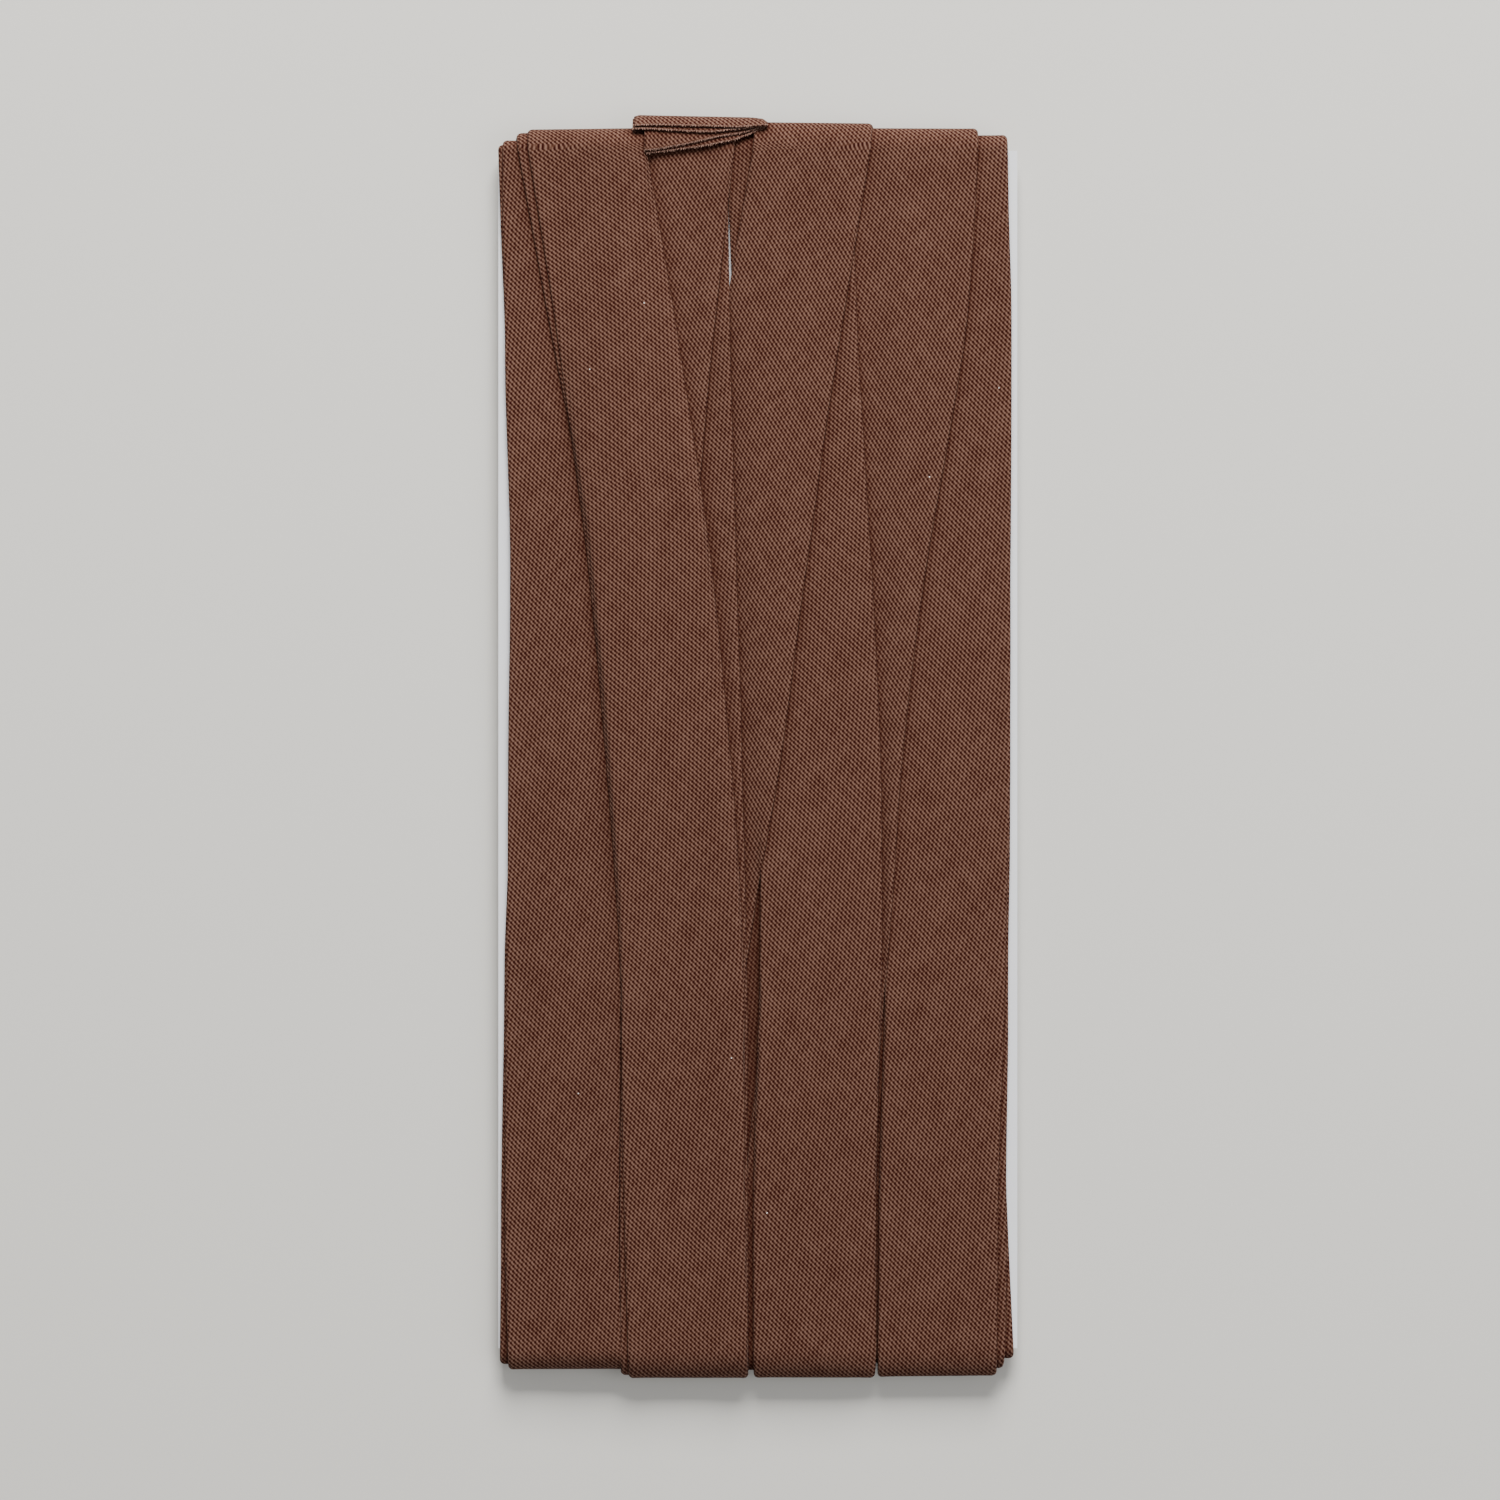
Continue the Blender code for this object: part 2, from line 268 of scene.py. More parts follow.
def corner_rounding(xs):
    """How much less the tape reaches past the card near its two folds."""
    edge = np.clip(from_fold(xs), 0, CORNER_RADIUS) / CORNER_RADIUS
    return CORNER_DROP * (1 - np.sqrt(1 - (1 - edge) ** 2))


def pressed(level):
    """Heights on the back, where the table presses the thick places flat."""
    room = card_middle - TABLE_ROOM - PRESSED_FROM
    flattened = PRESSED_FROM + room * (1 - np.exp((PRESSED_FROM - level) / room))
    return np.where(level < PRESSED_FROM, level, flattened)


def nose(start, finish, reach, end):
    """Rows round one end of the card, from the pass that arrives to the pass that leaves."""
    rows = []
    order = NOSE_ANGLES if end < 0 else -NOSE_ANGLES
    for k, angle in enumerate(order):
        share = (k + 1) / (len(order) + 1)
        xs = start[0] * (1 - share) + finish[0] * share
        level = card_half + (start[1] if (angle > 0) == (end < 0) else finish[1])
        if angle < 0:
            level = pressed(level)
        spread = np.linspace(reach[0], reach[1], len(xs)) - corner_rounding(xs)
        out = np.tile((0.0, end * math.cos(angle), math.sin(angle)), (len(xs), 1))
        y = end * (card_end + spread * math.cos(angle))
        z = level * math.sin(angle)
        rows.append((np.stack([xs, y, z], axis=1), out, from_fold(xs)))
    return rows


def flat_rows(columns, heights, rows_y, face):
    """Rows of a pass on the front, face 1, or on the back, face -1."""
    rows = []
    for xs, h, y in zip(columns, heights, rows_y):
        level = card_half + h
        if face < 0:
            level = pressed(level)
        out = np.tile((0.0, 0.0, float(face)), (len(xs), 1))
        rows.append((np.stack([xs, np.full(len(xs), y), face * level], axis=1), out, from_fold(xs)))
    return rows


stacks = {1: np.zeros((FRONT_ROWS, len(grid))), -1: np.zeros((BACK_ROWS, len(grid)))}
tape_rows = []
arrived = None
for turn, (left_edges, widths, reach) in enumerate(PASSES):
    left = smooth_through(STATIONS, left_edges, front_y) + drift(FRONT_ROWS, *EDGE_DRIFT)
    width = smooth_through((card_end, 0.0, -card_end), widths, front_y) + drift(FRONT_ROWS, *WIDTH_DRIFT)
    columns, heights, stacks[1] = lay(left, width, front_y, stacks[1])
    heights = heights + drift(FRONT_ROWS, *HEIGHT_DRIFT)[:, None]
    begins = (columns[0], heights[0])
    tape_rows += nose(arrived or begins, begins, reach[:2], 1)
    tape_rows += flat_rows(columns, heights, front_y, 1)
    leaving = (columns[-1], heights[-1])
    next_left = END_LEFT if turn + 1 == len(PASSES) else PASSES[turn + 1][0][0]
    ease = (back_y + card_end) / (2 * card_end)
    ease = ease * ease * (3 - 2 * ease)
    left = left_edges[-1] + (next_left - left_edges[-1]) * ease
    columns, heights, stacks[-1] = lay(left, np.full(BACK_ROWS, TAPE_WIDTH), back_y, stacks[-1])
    tape_rows += nose(leaving, (columns[-1], heights[-1]), reach[2:], -1)
    tape_rows += flat_rows(columns[::-1], heights[::-1], back_y[::-1], -1)
    arrived = (columns[0], heights[0])


def new_object(name, data):
    """An object in the scene."""
    made = bpy.data.objects.new(name, data)
    bpy.context.scene.collection.objects.link(made)
    return made


def cloth_path(name, rows, start=0.0):
    """A grid of faces that a strip of cloth follows, in mm, and the length of the strip.

    Each point keeps its place, the way out of the stack, its distance from a fold, and how far along and
    across the strip it is.
    """
    place, out, fold = (np.array(part) for part in zip(*rows))
    place[:, :, 2] += card_middle
    count, columns, _ = place.shape
    middle = place[:, columns // 2]
    along = start + np.concatenate([[0], np.cumsum(np.linalg.norm(np.diff(middle, axis=0), axis=1))])
    forward = np.gradient(middle, axis=0)
    forward /= np.linalg.norm(forward, axis=1, keepdims=True)
    lean = ((place - middle[:, None]) * forward[:, None]).sum(axis=2)
    sideways = np.linalg.norm(np.diff(place, axis=1), axis=2)
    sideways = np.concatenate([np.zeros((count, 1)), np.cumsum(sideways, axis=1)], axis=1)
    sideways -= sideways[:, -1:] / 2
    sideways = np.sign(sideways) * np.sqrt(np.maximum(sideways**2 - lean**2, 0))
    run = np.stack([sideways, along[:, None] + lean, np.zeros_like(sideways)], axis=-1)
    index = np.arange(count * columns).reshape(count, columns)
    ring = (index[:-1, :-1], index[1:, :-1], index[1:, 1:], index[:-1, 1:])
    mesh = bpy.data.meshes.new(name)
    mesh.from_pydata(place.reshape(-1, 3).tolist(), [], np.stack(ring, axis=-1).reshape(-1, 4).tolist())
    for label, field in (("place", place), ("out", out), ("run", run)):
        mesh.attributes.new(label, "FLOAT_VECTOR", "POINT").data.foreach_set("vector", field.ravel())
    mesh.attributes.new("fold", "FLOAT", "POINT").data.foreach_set("value", fold.ravel())
    corners = np.zeros(len(mesh.loops), np.int32)
    mesh.loops.foreach_get("vertex_index", corners)
    mesh.uv_layers.new(name="tape").data.foreach_set("uv", run.reshape(-1, 3)[corners, :2].ravel())
    return mesh, along[-1]


def new_tree(name, inputs):
    """A geometry node tree with named inputs, and the sockets that hold them."""
    tree = bpy.data.node_groups.new(name, "GeometryNodeTree")
    tree.interface.new_socket("Geometry", in_out="INPUT", socket_type="NodeSocketGeometry")
    tree.interface.new_socket("Geometry", in_out="OUTPUT", socket_type="NodeSocketGeometry")
    for label, kind, value in inputs:
        socket = tree.interface.new_socket(label, in_out="INPUT", socket_type="NodeSocket" + kind)
        if value is not None:
            socket.default_value = value
    return tree, tree.nodes.new("NodeGroupInput").outputs


def named(tree, label, kind="FLOAT"):
    """An attribute of the mesh, by name."""
    made = add(tree, "GeometryNodeInputNamedAttribute", {"Name": label}, data_type=kind)
    return made.outputs["Attribute"]


def vector_node(tree, operation, first, second):
    """The result of one sum with vectors. To scale one, the second is a number."""
    socket = 3 if operation == "SCALE" else 1
    made = add(tree, "ShaderNodeVectorMath", {0: first, socket: second}, operation=operation)
    return made.outputs["Value" if operation == "DOT_PRODUCT" else "Vector"]


def shifted(tree, place, out, distance):
    """A place moved some way out of the stack."""
    return vector_node(tree, "ADD", place, vector_node(tree, "SCALE", out, distance))


def at_places(tree, geometry, place, chosen=True):
    """Geometry with its chosen points at new places."""
    sockets = {"Geometry": geometry, "Selection": chosen, "Position": place}
    return add(tree, "GeometryNodeSetPosition", sockets).outputs[0]


def roll(tree, fold, width, depth):
    """How far a face falls away as it rolls over into a fold, as a quarter of an oval does."""
    share = math_node(tree, "MINIMUM", math_node(tree, "DIVIDE", fold, width), 1.0)
    inside = math_node(tree, "SUBTRACT", 1.0, share)
    height = math_node(tree, "MULTIPLY_ADD", inside, math_node(tree, "MULTIPLY", inside, -1.0), 1.0)
    height = math_node(tree, "SQRT", math_node(tree, "MAXIMUM", height, 0.0))
    return math_node(tree, "MULTIPLY", math_node(tree, "SUBTRACT", 1.0, height), depth)


def end_tree(tree, geometry, material):
    """Turns mm to metres, makes instances real and gives the material."""
    sized = add(tree, "GeometryNodeTransform", {"Geometry": geometry, "Scale": (MM, MM, MM)}).outputs[0]
    real = add(tree, "GeometryNodeRealizeInstances", {"Geometry": sized}).outputs[0]
    dressed = add(tree, "GeometryNodeSetMaterial", {"Geometry": real, "Material": material}).outputs[0]
    tree.links.new(dressed, tree.nodes.new("NodeGroupOutput").inputs[0])


def grown(name, mesh, tree, **values):
    """A plain mesh object: what a node tree makes of a mesh, with some of the tree's named inputs set."""
    source = new_object(name + "_path", mesh)
    shape = source.modifiers.new("shape", "NODES")
    shape.node_group = tree
    for item in tree.interface.items_tree:
        if item.in_out == "INPUT" and item.name in values:
            shape[item.identifier] = values[item.name]
    ready = source.evaluated_get(bpy.context.evaluated_depsgraph_get())
    data = bpy.data.meshes.new_from_object(ready)
    bpy.data.objects.remove(source)
    return new_object(name, data)


# The tree gives a strip its thickness. The face rolls over into each fold, swells a little beside it where
# the turned-in edge is thick, and ripples slowly. The under side rolls up to meet it.
RIPPLE_SCALE = 0.05
SWELL_PLACE = 0.6
SWELL_WIDTH = 0.5
FIRST_STEP = -0.1
WELD_DISTANCE = 0.002

# Swell and ripple are full on the front, less round the ends and least on the back.
NOSE_SHARE = 0.6
FACE_SHARE = 0.4

folded_cloth, given = new_tree("folded_cloth", (
    ("Thickness", "Float", CLOTH_THICKNESS),
    ("Fold Width", "Float", 0.42),
    ("Fold Depth", "Float", 0.19),
    ("Under Depth", "Float", 0.09),
    ("Swell", "Float", 0.07),
    ("Ripple", "Float", 0.1),
    ("Seed", "Int", 3),
    ("Cloth", "Material", None),
))
tree = folded_cloth
fold = named(tree, "fold")
out = named(tree, "out", "FLOAT_VECTOR")
place = named(tree, "place", "FLOAT_VECTOR")
run = named(tree, "run", "FLOAT_VECTOR")
ripples = {"Vector": run, "W": given["Seed"], "Scale": RIPPLE_SCALE, "Detail": 1.0}
ripples = add(tree, "ShaderNodeTexNoise", ripples, noise_dimensions="4D").outputs["Fac"]
lift = math_node(tree, "MULTIPLY", math_node(tree, "SUBTRACT", ripples, 0.5), given["Ripple"])
beside = math_node(tree, "DIVIDE", math_node(tree, "SUBTRACT", fold, SWELL_PLACE), SWELL_WIDTH)
beside = math_node(tree, "MULTIPLY", beside, math_node(tree, "MULTIPLY", beside, -1.0))
beside = math_node(tree, "EXPONENT", beside)
lift = math_node(tree, "MULTIPLY_ADD", beside, given["Swell"], lift)
height = add(tree, "ShaderNodeSeparateXYZ", {0: out}).outputs["Z"]
lift = math_node(tree, "MULTIPLY", lift, math_node(tree, "MULTIPLY_ADD", height, FACE_SHARE, NOSE_SHARE))
face_lift = math_node(tree, "SUBTRACT", lift, roll(tree, fold, given["Fold Width"], given["Fold Depth"]))
under_roll = roll(tree, fold, given["Fold Width"], given["Under Depth"])
under_lift = math_node(tree, "ADD", math_node(tree, "SUBTRACT", lift, given["Thickness"]), under_roll)
face = at_places(tree, given["Geometry"], shifted(tree, place, out, face_lift))
inward = vector_node(tree, "SCALE", out, FIRST_STEP)
under = {"Mesh": face, "Offset": inward, "Offset Scale": 1.0, "Individual": False}
under = add(tree, "GeometryNodeExtrudeMesh", under, mode="FACES").outputs
lowered = at_places(tree, under["Mesh"], shifted(tree, place, out, under_lift), under["Top"])
lowered = add(tree, "GeometryNodeFlipFaces", {"Mesh": lowered}).outputs[0]
both = add(tree, "GeometryNodeJoinGeometry", {"Geometry": face})
tree.links.new(lowered, both.inputs[0])
closed = add(tree, "GeometryNodeMergeByDistance", {"Geometry": both.outputs[0], "Distance": WELD_DISTANCE})
soft = add(tree, "GeometryNodeSetShadeSmooth", {"Geometry": closed.outputs[0]}).outputs[0]
end_tree(tree, soft, given["Cloth"])

# The weave: two sets of threads that cross at a right angle, at 45 degrees to the tape. The set that
# leans like a backslash is coarser. Its group works in mm, along and across the tape.
COARSE_WAY = (-0.716, 0.698, 0.0)
COARSE_PITCH = 0.526
FINE_WAY = (0.750, 0.661, 0.0)
FINE_PITCH = 0.387
UNEVENNESS = 0.1
BEND_SCALE = 0.45
SLUB_SCALE = 0.83
SLUB_STRETCH = 0.11
SLUB_SLICE = 3.7
SLUB_SIZE = 0.7
PATCH_SCALE = 0.12
PATCH_SIZE = 0.08
LINT_SCALE = 0.42
LINT_RARITY = 0.965
LINT_RADIUS = 0.045

weave = bpy.data.node_groups.new("bias_weave", "ShaderNodeTree")
weave.interface.new_socket("Place", in_out="INPUT", socket_type="NodeSocketVector")
for name, value in (("Coarse Pitch", COARSE_PITCH), ("Fine Pitch", FINE_PITCH), ("Unevenness", UNEVENNESS)):
    socket = weave.interface.new_socket(name, in_out="INPUT", socket_type="NodeSocketFloat")
    socket.default_value = value
for name in ("Tone", "Height", "Lint"):
    weave.interface.new_socket(name, in_out="OUTPUT", socket_type="NodeSocketFloat")
given = weave.nodes.new("NodeGroupInput").outputs
bend = add(weave, "ShaderNodeTexNoise", {"Vector": given["Place"], "Scale": BEND_SCALE, "Detail": 3.0})
bend = vector_node(weave, "SUBTRACT", bend.outputs["Color"], (0.5, 0.5, 0.5))
bent = vector_node(weave, "ADD", vector_node(weave, "SCALE", bend, given["Unevenness"]), given["Place"])


def wave(count, turns, lead):
    """A cosine of a thread count, ahead by a share of a turn."""
    angle = math_node(weave, "MULTIPLY_ADD", count, turns * math.tau, lead * math.tau)
    return math_node(weave, "COSINE", angle)


# How many threads of each set lie between the tape's middle and a point.
coarse = vector_node(weave, "DOT_PRODUCT", bent, COARSE_WAY)
coarse = math_node(weave, "DIVIDE", coarse, given["Coarse Pitch"])
fine = vector_node(weave, "DOT_PRODUCT", bent, FINE_WAY)
fine = math_node(weave, "DIVIDE", fine, given["Fine Pitch"])
total = math_node(weave, "ADD", coarse, fine)
difference = math_node(weave, "SUBTRACT", fine, coarse)

# The waves are the threads and the way they pass over and under each other.
# Columns: the count a wave follows, its turns to a thread, its lead and its size.
tone = 0.5
for count, turns, lead, size in (
    (coarse, 1.0, 0.0, 0.42),
    (difference, 0.5, 0.375, 0.2),
    (fine, 1.0, 0.0, 0.16),
    (total, 0.5, 0.0, 0.08),
):
    tone = math_node(weave, "MULTIPLY_ADD", wave(count, turns, lead), size, tone)
height = tone
slubs = 0.0
for first, second in ((coarse, fine), (fine, coarse)):
    lane = math_node(weave, "ROUND", first)
    stretched = math_node(weave, "MULTIPLY", second, SLUB_STRETCH)
    spot = add(weave, "ShaderNodeCombineXYZ", {0: lane, 1: stretched, 2: SLUB_SLICE}).outputs[0]
    slubs = math_node(weave, "MULTIPLY_ADD", noise(weave, spot, SLUB_SCALE, 1.0), 0.5, slubs)
patches = noise(weave, given["Place"], PATCH_SCALE, 2.0)
for uneven, size in ((slubs, SLUB_SIZE), (patches, PATCH_SIZE)):
    tone = math_node(weave, "MULTIPLY_ADD", math_node(weave, "SUBTRACT", uneven, 0.5), size, tone)
cells = add(weave, "ShaderNodeTexVoronoi", {"Vector": given["Place"], "Scale": LINT_SCALE}).outputs
chosen = add(weave, "ShaderNodeSeparateColor", {0: cells["Color"]}).outputs[0]
chosen = math_node(weave, "GREATER_THAN", chosen, LINT_RARITY)
small = math_node(weave, "LESS_THAN", cells["Distance"], LINT_RADIUS)
results = weave.nodes.new("NodeGroupOutput").inputs
weave.links.new(tone, results["Tone"])
weave.links.new(height, results["Height"])
weave.links.new(math_node(weave, "MULTIPLY", chosen, small), results["Lint"])

# The cotton is a dusky rose. A painted highlight makes it a little lighter near each fold, and painted shade
# makes it darker in the crease of a fold and in the hollow beside another turn. How far a hollow reaches is
# in metres, the rest in mm from a fold.
HOLE = (0.0210, 0.0006, 0.0001, 1.0)
THREAD = (0.067, 0.0255, 0.0143, 1.0)
CROWN = (0.173, 0.096, 0.071, 1.0)
LINT = (0.75, 0.70, 0.66, 1.0)
FOLD_HIGHLIGHT_TONE = 0.09
FOLD_HIGHLIGHT_FADE = -1.6
CREASE_SHADE = 0.15
CREASE_FADE = -6.0
HOLLOW_SHADE = 0.65
HOLLOW_REACH = 0.0022
HOLLOW_SAMPLES = 12
FOLD_SPARED = 0.5
WEAVE_RELIEF = (0.55, 0.00005)
COTTON_SURFACE = (
    ("Roughness", 0.9),
    ("Specular IOR Level", 0.08),
    ("Sheen Weight", 0.03),
    ("Sheen Roughness", 0.5),
)

rose_cotton, tree, surface = new_material("rose_cotton")
place = add(tree, "ShaderNodeUVMap", uv_map="tape").outputs[0]
threads = add(tree, "ShaderNodeGroup", {"Place": place}, node_tree=weave).outputs
fold = add(tree, "ShaderNodeAttribute", attribute_name="fold").outputs["Fac"]
# Painted highlight: the tone is lighter near each fold and fades with distance from it.
painted_fold_highlight = math_node(tree, "EXPONENT", math_node(tree, "MULTIPLY", fold, FOLD_HIGHLIGHT_FADE))
# Painted shade: the tone is darker right at each fold, in its crease.
painted_crease_shade = math_node(tree, "EXPONENT", math_node(tree, "MULTIPLY", fold, CREASE_FADE))
# Painted shade: an ambient occlusion node darkens the tone in the hollow beside another turn, but not on the
# fold itself.
painted_hollow_shade = add(tree, "ShaderNodeAmbientOcclusion", {"Distance": HOLLOW_REACH}, samples=HOLLOW_SAMPLES)
painted_hollow_shade = math_node(tree, "SQRT", math_node(tree, "SUBTRACT", 1.0, painted_hollow_shade.outputs["AO"]))
past_fold = math_node(tree, "MINIMUM", math_node(tree, "DIVIDE", fold, FOLD_SPARED), 1.0)
painted_hollow_shade = math_node(tree, "MULTIPLY", painted_hollow_shade, past_fold)
tone = math_node(tree, "MULTIPLY_ADD", painted_fold_highlight, FOLD_HIGHLIGHT_TONE, threads["Tone"])
# Both painted shades darken the tone by their masks.
for mask, shade in ((painted_crease_shade, CREASE_SHADE), (painted_hollow_shade, HOLLOW_SHADE)):
    tone = math_node(tree, "MULTIPLY", tone, math_node(tree, "MULTIPLY_ADD", mask, -shade, 1.0))
ramp = add(tree, "ShaderNodeValToRGB", {0: tone})
stops = ramp.color_ramp.elements
stops[0].color = HOLE
stops[1].color = CROWN
stops.new(0.5).color = THREAD
blend(tree, surface, threads["Lint"], ramp.outputs[0], LINT)
bump(tree, surface, threads["Height"], *WEAVE_RELIEF)
for name, value in COTTON_SURFACE:
    surface.inputs[name].default_value = value

path, tape_length = cloth_path("tape_path", tape_rows)
binding = grown("binding", path, folded_cloth, Cloth=rose_cotton)
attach(binding, "root")
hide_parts("wound_binding")


# The loose end: the last of the tape, bent over the top edge and cut on a slant with scissors.
# The face and the two hems behind it have slipped apart, so their cut edges show one under the other.
# The threads that the scissors cut stick out a little along each edge.

END_REACH = 5.4
END_RISE = 1.1
END_INSET = 0.3
REAR_NESTING = 0.5
FRONT_FROM = -16.9
LEAF_THICKNESS = 0.17
LEAF_ROWS = 30
LEAF_COLUMNS = 28
LEAF_FOLD = {"Fold Width": 0.15, "Fold Depth": 0.09, "Under Depth": 0.06, "Swell": 0.0, "Ripple": 0.05}
THREAD_TIP = (0.33, 0.21, 0.17, 1.0)
THREAD_RISE = 0.01
THREAD_ROOT = 0.22
STRAND_TAPER = 0.6
STRAND_LENGTHS = (0.4, 1.1)
STREAK_SCALE = 3000.0
STREAK_RELIEF = (0.4, 0.00003)

# How much less the loose end reaches past the card, at places across it.
CORNER_PLACES = (-18.6, -18.2, -1.0, 1.0, 1.5)
CORNER_LOSSES = (0.15, 0.0, 0.35, 0.6, 1.0)

# One row for each leaf, from the outermost.
# Columns: left side, right side, how far in it lies, the angle round the edge at which it starts,
# and its cut edge as places across and up the card.
LEAVES = (
    (-18.6, 1.5, 0.0, -90.6,
     ((-18.6, 93.45), (-15.0, 93.6), (-9.0, 93.45), (-3.0, 93.25), (1.5, 93.6))),
    (-18.8, 1.3, 0.34, -88,
     ((-18.8, 92.95), (-15.5, 92.95), (-9.6, 92.6), (-6.6, 92.5), (-4.2, 92.8), (1.3, 93.5))),
    (-17.0, 1.2, 0.72, -5,
     ((-17.0, 89.6), (-14.1, 90.1), (-10.2, 90.8), (-7.0, 91.6), (-1.9, 92.5), (1.2, 93.4))),
    (-16.7, 1.0, 0.96, -5,
     ((-16.7, 89.2), (-13.5, 89.7), (-8.7, 90.3), (-4.0, 91.2), (-1.0, 92.3), (1.0, 93.3))),
)

cut_threads, given = new_tree("cut_threads", (
    ("Count", "Int", 90),
    ("Length", "Float", 0.36),
    ("Thickness", "Float", 0.075),
    ("Spread", "Float", 0.45),
    ("Seed", "Int", 5),
    ("Cloth", "Material", None),
))
tree = cut_threads
line = add(tree, "GeometryNodeMeshToCurve", {"Mesh": given["Geometry"]}).outputs[0]
spots = add(tree, "GeometryNodeResampleCurve", {"Curve": line, "Count": given["Count"]}).outputs[0]
strand = add(tree, "GeometryNodeMeshCone", {
    "Vertices": 5,
    "Side Segments": 2,
    "Radius Top": math_node(tree, "MULTIPLY", given["Thickness"], STRAND_TAPER),
    "Radius Bottom": given["Thickness"],
    "Depth": given["Length"],
}).outputs["Mesh"]
sway = {"Min": (-1.0, -1.0, -1.0), "Max": (1.0, 1.0, 1.0), "Seed": given["Seed"]}
sway = add(tree, "FunctionNodeRandomValue", sway, data_type="FLOAT_VECTOR").outputs["Value"]
way = shifted(tree, named(tree, "down", "FLOAT_VECTOR"), sway, given["Spread"])
turned = add(tree, "FunctionNodeAlignRotationToVector", {"Vector": way}, axis="Z").outputs[0]
lengths = {2: STRAND_LENGTHS[0], 3: STRAND_LENGTHS[1], "Seed": given["Seed"]}
lengths = add(tree, "FunctionNodeRandomValue", lengths, data_type="FLOAT").outputs[1]
sizes = add(tree, "ShaderNodeCombineXYZ", {0: 1.0, 1: 1.0, 2: lengths}).outputs[0]
strands = {"Points": spots, "Instance": strand, "Rotation": turned, "Scale": sizes}
strands = add(tree, "GeometryNodeInstanceOnPoints", strands).outputs[0]
end_tree(tree, strands, given["Cloth"])

thread_end, tree, surface = new_material("thread_end")
place = add(tree, "ShaderNodeTexCoord").outputs["Object"]
streaks = noise(tree, place, STREAK_SCALE, 2.0)
blend(tree, surface, streaks, CROWN, THREAD_TIP)
bump(tree, surface, streaks, *STREAK_RELIEF)
for name, value in COTTON_SURFACE[:2]:
    surface.inputs[name].default_value = value


def leaf(name, low, high, inset, start, cut):
    """One layer of the cut end, from behind the card's edge round to its cut, with its cut threads."""
    xs = np.linspace(low, high, LEAF_COLUMNS)
    front_level = np.interp(np.maximum(xs, FRONT_FROM), grid, softened(stacks[1][:1], DRAPE_CELLS, 1)[0])
    inside = np.clip(xs, END_LEFT + END_INSET, END_LEFT + TAPE_WIDTH - END_INSET)
    back_level = np.interp(inside, grid, stacks[-1][0])
    outermost = card_half + front_level + PLY + END_RISE
    rear = pressed(card_half + back_level)
    spread = END_REACH - inset - np.interp(xs, CORNER_PLACES, CORNER_LOSSES)
    places, heights = np.array(cut).T
    stop = np.arccos(np.clip((np.interp(xs, places, heights) - card_end) / spread, -1, 1))
    rows = []
    for share in np.linspace(0, 1, LEAF_ROWS):
        angle = math.radians(start) + (stop - math.radians(start)) * share
        level = np.where(angle > 0, outermost - inset, rear - inset * REAR_NESTING)
        y = card_end + spread * np.cos(angle)
        out = np.stack([np.zeros_like(xs), np.cos(angle), np.sin(angle)], axis=1)
        rows.append((np.stack([xs, y, level * np.sin(angle)], axis=1), out, from_fold(xs)))
    path, _ = cloth_path(name, rows, tape_length)
    sheet = grown(name, path, folded_cloth, Cloth=rose_cotton, Thickness=LEAF_THICKNESS, **LEAF_FOLD)
    edge = rows[-1][0] + rows[-1][1] * THREAD_RISE + (0, 0, card_middle)
    down = rows[-1][0] - rows[-3][0]
    down /= np.linalg.norm(down, axis=1, keepdims=True)
    line = bpy.data.meshes.new(name + "_cut")
    line.from_pydata((edge - down * THREAD_ROOT).tolist(), [(i, i + 1) for i in range(LEAF_COLUMNS - 1)], [])
    line.attributes.new("down", "FLOAT_VECTOR", "POINT").data.foreach_set("vector", down.ravel())
    return [sheet, grown(name + "_threads", line, cut_threads, Cloth=thread_end, Seed=int(10 * inset))]


parts = [part for n, row in enumerate(LEAVES) for part in leaf(f"leaf_{n}", *row)]
loose_end = new_object("cut_end", bpy.data.meshes.new("cut_end"))
for finish in (rose_cotton, thread_end):
    loose_end.data.materials.append(finish)
joined = bmesh.new()
for n, part in enumerate(parts):
    before = len(joined.faces)
    joined.from_mesh(part.data)
    joined.faces.ensure_lookup_table()
    for piece in joined.faces[before:]:
        piece.material_index = n % 2
    bpy.data.objects.remove(part)
joined.to_mesh(loose_end.data)
joined.free()
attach(loose_end, "root")
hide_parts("loose_end")


# The table: plain pale paper with a faint grain, which isn't part of the object.
# A window beyond the top edge gives most of the light, and a dim sky at the right gives the rest.

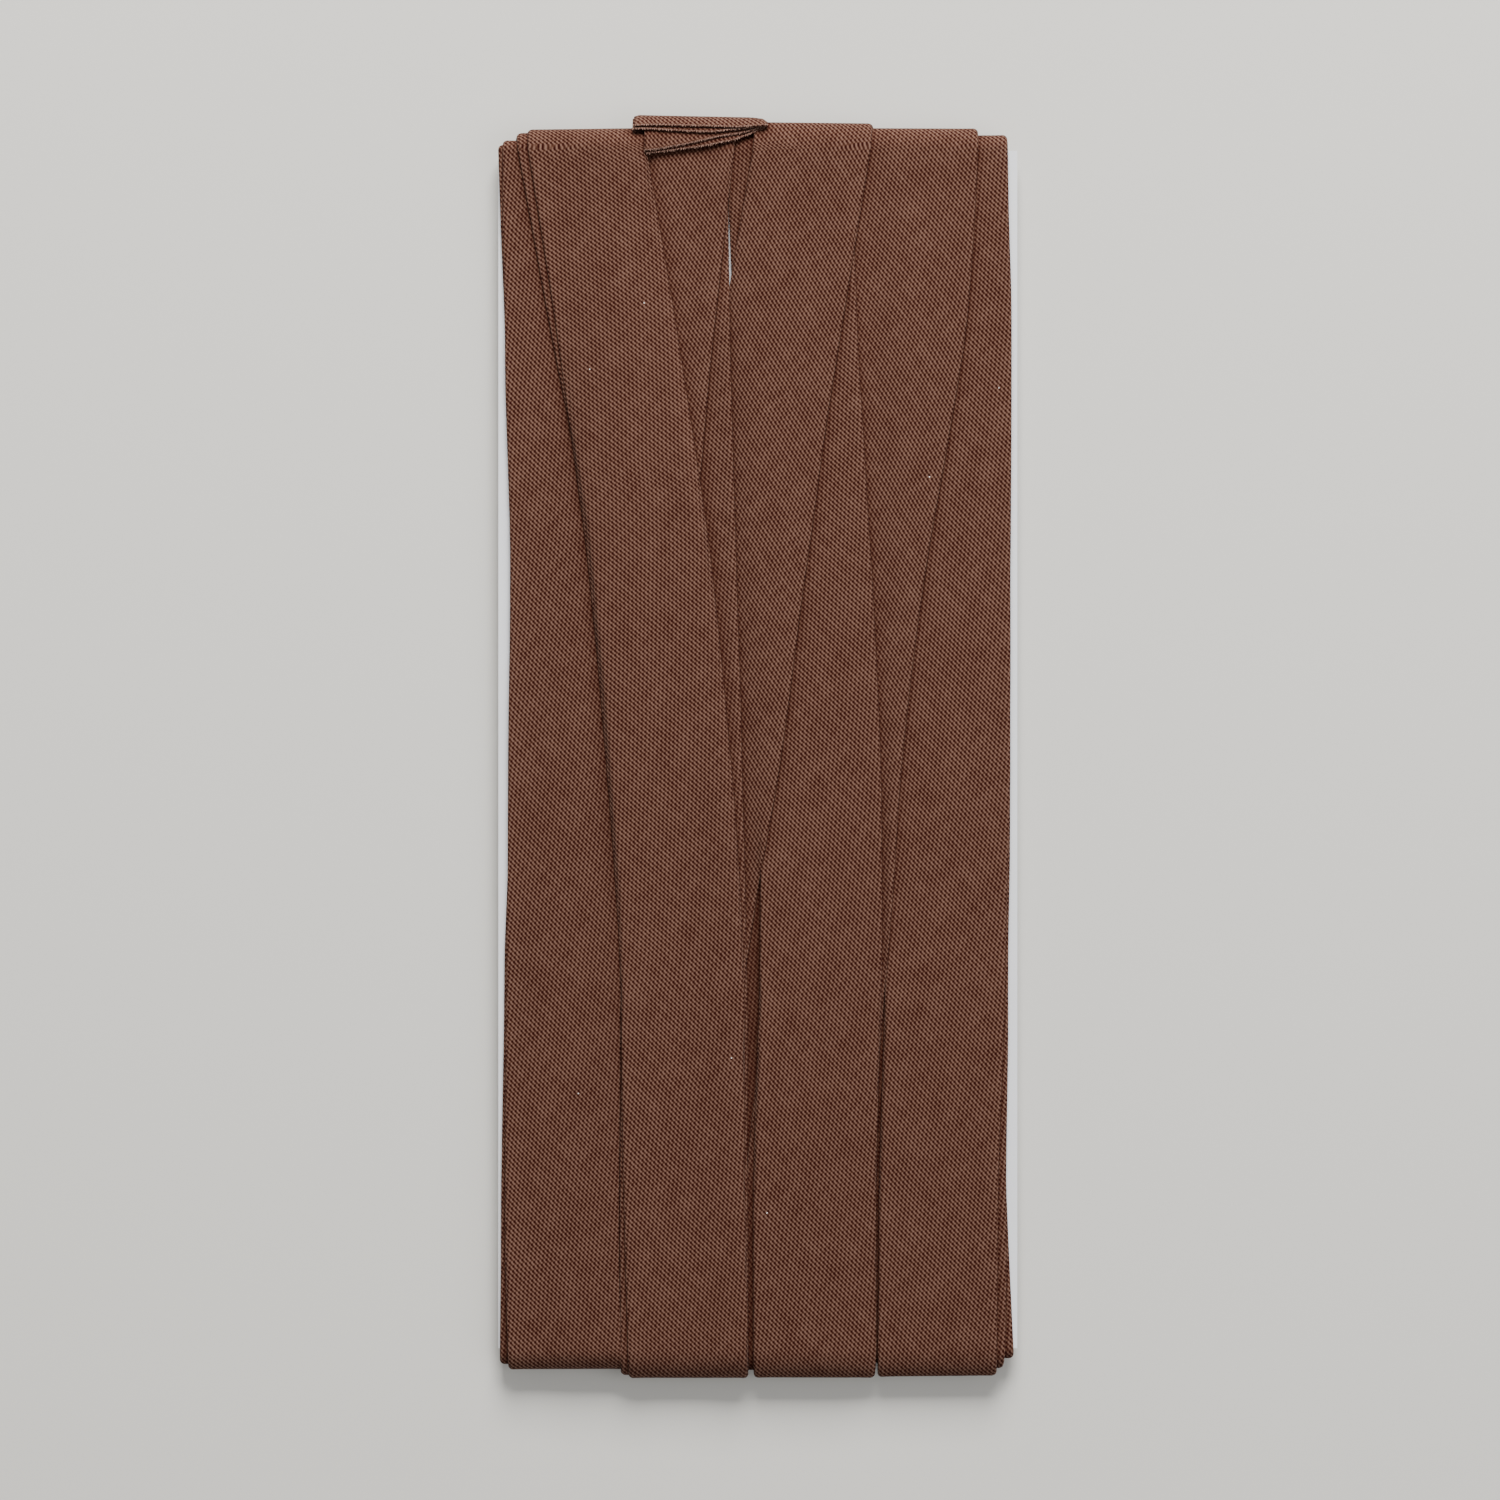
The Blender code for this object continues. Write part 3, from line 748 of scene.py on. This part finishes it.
PAPER = (0.715, 0.703, 0.668, 1.0)
PAPER_SCALE = 1500.0
PAPER_RELIEF = (0.2, 0.00002)
PAPER_ROUGHNESS = 0.85
TABLE_HALF = 1.2
ROOM_COLOUR = (1.0, 0.99, 0.97, 1.0)
ROOM_STRENGTH = 0.34

paper, tree, surface = new_material("pale_paper")
place = add(tree, "ShaderNodeTexCoord").outputs["Object"]
bump(tree, surface, noise(tree, place, PAPER_SCALE, 3.0), *PAPER_RELIEF)
surface.inputs["Base Color"].default_value = PAPER
surface.inputs["Roughness"].default_value = PAPER_ROUGHNESS

corners = [(TABLE_HALF * x, TABLE_HALF * y, 0) for x, y in ((-1, -1), (1, -1), (1, 1), (-1, 1))]
floor = new_object("table", bpy.data.meshes.new("table"))
floor.data.from_pydata(corners, [], [(0, 1, 2, 3)])
floor.data.materials.append(paper)


def area_light(name, place, size, power, color):
    """A square soft light that faces the object."""
    made = new_object(name, bpy.data.lights.new(name, "AREA"))
    made.data.size = size
    made.data.energy = power
    made.data.color = color
    made.location = place
    made.rotation_euler = (-Vector(place)).to_track_quat("-Z", "Y").to_euler()


area_light("window", (0.08, 0.95, 0.62), 0.55, 29.0, (1.0, 0.985, 0.955))
area_light("sky", (1.0, -0.35, 1.0), 1.2, 7.0, (0.96, 0.98, 1.0))
world = bpy.data.worlds.new("room")
world.use_nodes = True
world.node_tree.nodes["Background"].inputs["Color"].default_value = ROOM_COLOUR
world.node_tree.nodes["Background"].inputs["Strength"].default_value = ROOM_STRENGTH
bpy.context.scene.world = world

# The camera looks straight down at the card, as the photo does, and frames it as the photo does.
CAMERA_HEIGHT = 0.7
PHOTO_WIDTH = 1500
PIXELS_PER_MM = 6.65
FRAME_WIDTH = PHOTO_WIDTH / PIXELS_PER_MM * MM
FRAME_MIDDLE = (-1.18 * MM, -0.08 * MM)

camera = new_object("camera", bpy.data.cameras.new("camera"))
camera.data.sensor_width = 36.0
camera.data.lens = camera.data.sensor_width * (CAMERA_HEIGHT - card_middle * MM) / FRAME_WIDTH
camera.location = (*FRAME_MIDDLE, CAMERA_HEIGHT)
bpy.context.scene.camera = camera
